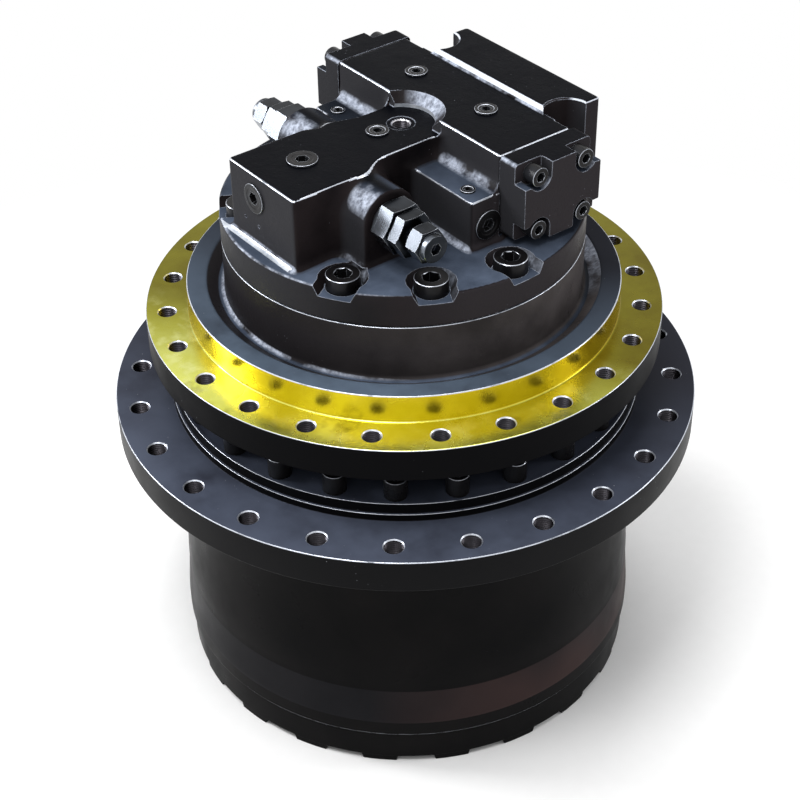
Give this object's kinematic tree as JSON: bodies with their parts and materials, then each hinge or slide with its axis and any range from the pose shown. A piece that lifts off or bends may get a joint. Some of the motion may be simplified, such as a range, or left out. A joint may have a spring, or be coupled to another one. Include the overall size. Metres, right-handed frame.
{
  "type": "excavator final drive",
  "caption": "Hydraulic travel motor and planetary final drive of a tracked excavator, with frame flange, sprocket flange and ring gear drum",
  "frame": {"origin": "On the axis of rotation, in the plane that the end cover's lugs stand on.", "axes": "Z is the axis of rotation, from the end cover up to the motor. X runs along the long valve body, towards its front end cap. Y points from the relief block to the main ports."},
  "size_m": [0.628, 0.628, 0.6614],
  "materials": {
    "bearing_steel": "ground bearing steel",
    "black_paint": "semi-gloss black paint",
    "brake_lining": "sintered lining",
    "bright_steel": "bright steel",
    "bronze": "bearing bronze",
    "cast_black": "black painted casting",
    "dark_steel": "blackened steel",
    "gear_steel": "machined gear steel",
    "seal_rubber": "nitrile rubber"
  },
  "bodies": {
    "spindle": {"spindle_housing": "cast_black", "rear_cover": "cast_black", "valve_cap_front": "black_paint", "valve_cap_back": "black_paint", "cover_screw_1": "dark_steel", "cover_screw_2": "dark_steel", "cover_screw_3": "dark_steel", "cover_screw_4": "dark_steel", "cover_screw_5": "dark_steel", "cover_screw_6": "dark_steel", "cover_screw_7": "dark_steel", "cover_screw_8": "dark_steel", "relief_cartridge_front": "bright_steel", "relief_cartridge_back": "bright_steel", "relief_lock_nut_front": "bright_steel", "relief_lock_nut_back": "bright_steel", "relief_top_plug_1": "dark_steel", "relief_top_plug_2": "dark_steel", "valve_top_plug_1": "dark_steel", "valve_top_plug_2": "dark_steel", "front_plug": "dark_steel", "side_plug": "dark_steel", "ledge_plug": "dark_steel", "valve_plate": "bronze", "separator_disc_1": "dark_steel", "bearing_inner_lower": "bearing_steel", "bearing_inner_upper": "bearing_steel", "bearing_nut": "dark_steel", "stage_2_carrier": "gear_steel", "seal_ring_upper": "bearing_steel", "toric_ring_upper": "seal_rubber", "shaft_bearing": "bearing_steel"},
    "hub": {"hub": "black_paint", "ring_gear_drum": "black_paint", "end_cover": "black_paint", "level_plug_1": "dark_steel", "level_plug_2": "dark_steel", "bearing_outer_lower": "bearing_steel", "bearing_outer_upper": "bearing_steel", "seal_ring_lower": "bearing_steel", "toric_ring_lower": "seal_rubber"},
    "stage_1_carrier_and_sun": {"stage_1_carrier": "gear_steel", "stage_2_sun": "gear_steel"},
    "shaft": {"drive_shaft": "gear_steel", "cylinder_block": "gear_steel", "friction_disc_1": "brake_lining", "friction_disc_2": "brake_lining"},
    "rollers_lower": {"bearing_rollers_lower": "bearing_steel"},
    "rollers_upper": {"bearing_rollers_upper": "bearing_steel"},
    "swash": {"swash_plate": "gear_steel"},
    "brake": {"brake_piston": "gear_steel"},
    "spool": {"counterbalance_spool": "gear_steel"},
    "adjuster_front": {"relief_adjuster_front": "bright_steel"},
    "adjuster_back": {"relief_adjuster_back": "bright_steel"},
    "stage_1_planet_1_body": {"stage_1_planet_1": "gear_steel"},
    "stage_1_planet_2_body": {"stage_1_planet_2": "gear_steel"},
    "stage_1_planet_3_body": {"stage_1_planet_3": "gear_steel"},
    "stage_2_planet_1_body": {"stage_2_planet_1": "gear_steel"},
    "stage_2_planet_2_body": {"stage_2_planet_2": "gear_steel"},
    "stage_2_planet_3_body": {"stage_2_planet_3": "gear_steel"}
  },
  "joints": [
    {"name": "hub_spin", "type": "hinge", "parent": "spindle", "child": "hub", "pos_m": [0, 0, 0], "axis": [0, 0, 1], "continuous": true},
    {"name": "stage_1_carrier_spin", "type": "hinge", "parent": "spindle", "child": "stage_1_carrier_and_sun", "pos_m": [0, 0, 0], "axis": [0, 0, 1], "continuous": true},
    {"name": "shaft_spin", "type": "hinge", "parent": "spindle", "child": "shaft", "pos_m": [0, 0, 0], "axis": [0, 0, 1], "continuous": true},
    {"name": "rollers_lower_spin", "type": "hinge", "parent": "spindle", "child": "rollers_lower", "pos_m": [0, 0, 0], "axis": [0, 0, 1], "continuous": true},
    {"name": "rollers_upper_spin", "type": "hinge", "parent": "spindle", "child": "rollers_upper", "pos_m": [0, 0, 0], "axis": [0, 0, 1], "continuous": true},
    {"name": "stage_2_planet_1_spin", "type": "hinge", "parent": "spindle", "child": "stage_2_planet_1_body", "pos_m": [0.132, 0, 0], "axis": [0, 0, 1], "continuous": true},
    {"name": "stage_1_planet_1_spin", "type": "hinge", "parent": "stage_1_carrier_and_sun", "child": "stage_1_planet_1_body", "pos_m": [0.132, 0, 0], "axis": [0, 0, 1], "continuous": true},
    {"name": "stage_2_planet_2_spin", "type": "hinge", "parent": "spindle", "child": "stage_2_planet_2_body", "pos_m": [-0.066, 0.11431, 0], "axis": [0, 0, 1], "continuous": true},
    {"name": "stage_1_planet_2_spin", "type": "hinge", "parent": "stage_1_carrier_and_sun", "child": "stage_1_planet_2_body", "pos_m": [-0.066, 0.11431, 0], "axis": [0, 0, 1], "continuous": true},
    {"name": "stage_2_planet_3_spin", "type": "hinge", "parent": "spindle", "child": "stage_2_planet_3_body", "pos_m": [-0.066, -0.11431, 0], "axis": [0, 0, 1], "continuous": true},
    {"name": "stage_1_planet_3_spin", "type": "hinge", "parent": "stage_1_carrier_and_sun", "child": "stage_1_planet_3_body", "pos_m": [-0.066, -0.11431, 0], "axis": [0, 0, 1], "continuous": true},
    {"name": "swash_tilt", "type": "hinge", "parent": "spindle", "child": "swash", "pos_m": [0, 0, 0.376], "axis": [0, 1, 0], "range_deg": [-7, 0]},
    {"name": "brake_release", "type": "slide", "parent": "spindle", "child": "brake", "axis": [0, 0, 1], "range_m": [0, 0.003]},
    {"name": "counterbalance_slide", "type": "slide", "parent": "spindle", "child": "spool", "axis": [1, 0, 0], "range_m": [-0.01, 0.01]},
    {"name": "relief_adjust_front", "type": "hinge", "parent": "spindle", "child": "adjuster_front", "pos_m": [0.15, -0.083, 0.6084], "axis": [1, 0, 0], "range_deg": [-180, 180]},
    {"name": "relief_adjust_back", "type": "hinge", "parent": "spindle", "child": "adjuster_back", "pos_m": [-0.15, -0.052, 0.6084], "axis": [1, 0, 0], "range_deg": [-180, 180]}
  ],
  "couplings": [
    {"joint": "stage_1_carrier_spin", "follows": "hub_spin", "ratio": -4.5},
    {"joint": "shaft_spin", "follows": "hub_spin", "ratio": -29.25},
    {"joint": "rollers_lower_spin", "follows": "hub_spin", "ratio": 0.5259},
    {"joint": "rollers_upper_spin", "follows": "hub_spin", "ratio": 0.5259},
    {"joint": "stage_2_planet_1_spin", "follows": "hub_spin", "ratio": 2.5714},
    {"joint": "stage_1_planet_1_spin", "follows": "hub_spin", "ratio": 14.143},
    {"joint": "stage_2_planet_2_spin", "follows": "hub_spin", "ratio": 2.5714},
    {"joint": "stage_1_planet_2_spin", "follows": "hub_spin", "ratio": 14.143},
    {"joint": "stage_2_planet_3_spin", "follows": "hub_spin", "ratio": 2.5714},
    {"joint": "stage_1_planet_3_spin", "follows": "hub_spin", "ratio": 14.143}
  ]
}
